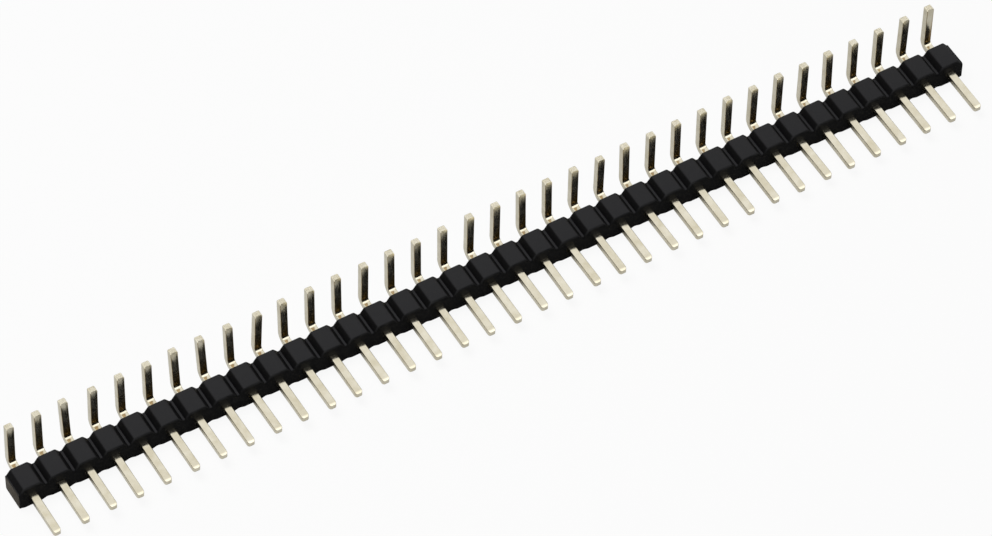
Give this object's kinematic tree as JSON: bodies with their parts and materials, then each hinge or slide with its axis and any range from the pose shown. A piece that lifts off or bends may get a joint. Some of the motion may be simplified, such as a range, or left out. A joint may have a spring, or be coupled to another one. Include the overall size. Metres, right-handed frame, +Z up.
{
  "type": "pin header strip",
  "caption": "Right-angle single-row pin header strip: a notched black moulded bar with square plated pins, straight at the front and bent up behind.",
  "frame": {"origin": "on the housing's underside, straight below the axis of the first way's pin, in the middle of the housing's depth", "axes": "+X along the row towards the last way, -Y along the straight mating pins, +Z up along the bent tails"},
  "size_m": [0.0915, 0.0087, 0.006],
  "materials": {
    "housing_plastic": "satin",
    "pin_plating": "polished"
  },
  "bodies": {
    "root": {"housing": "housing_plastic", "pin_01": "pin_plating", "pin_02": "pin_plating", "pin_03": "pin_plating", "pin_04": "pin_plating", "pin_05": "pin_plating", "pin_06": "pin_plating", "pin_07": "pin_plating", "pin_08": "pin_plating", "pin_09": "pin_plating", "pin_10": "pin_plating", "pin_11": "pin_plating", "pin_12": "pin_plating", "pin_13": "pin_plating", "pin_14": "pin_plating", "pin_15": "pin_plating", "pin_16": "pin_plating", "pin_17": "pin_plating", "pin_18": "pin_plating", "pin_19": "pin_plating", "pin_20": "pin_plating", "pin_21": "pin_plating", "pin_22": "pin_plating", "pin_23": "pin_plating", "pin_24": "pin_plating", "pin_25": "pin_plating", "pin_26": "pin_plating", "pin_27": "pin_plating", "pin_28": "pin_plating", "pin_29": "pin_plating", "pin_30": "pin_plating", "pin_31": "pin_plating", "pin_32": "pin_plating", "pin_33": "pin_plating", "pin_34": "pin_plating", "pin_35": "pin_plating", "pin_36": "pin_plating"}
  },
  "joints": []
}
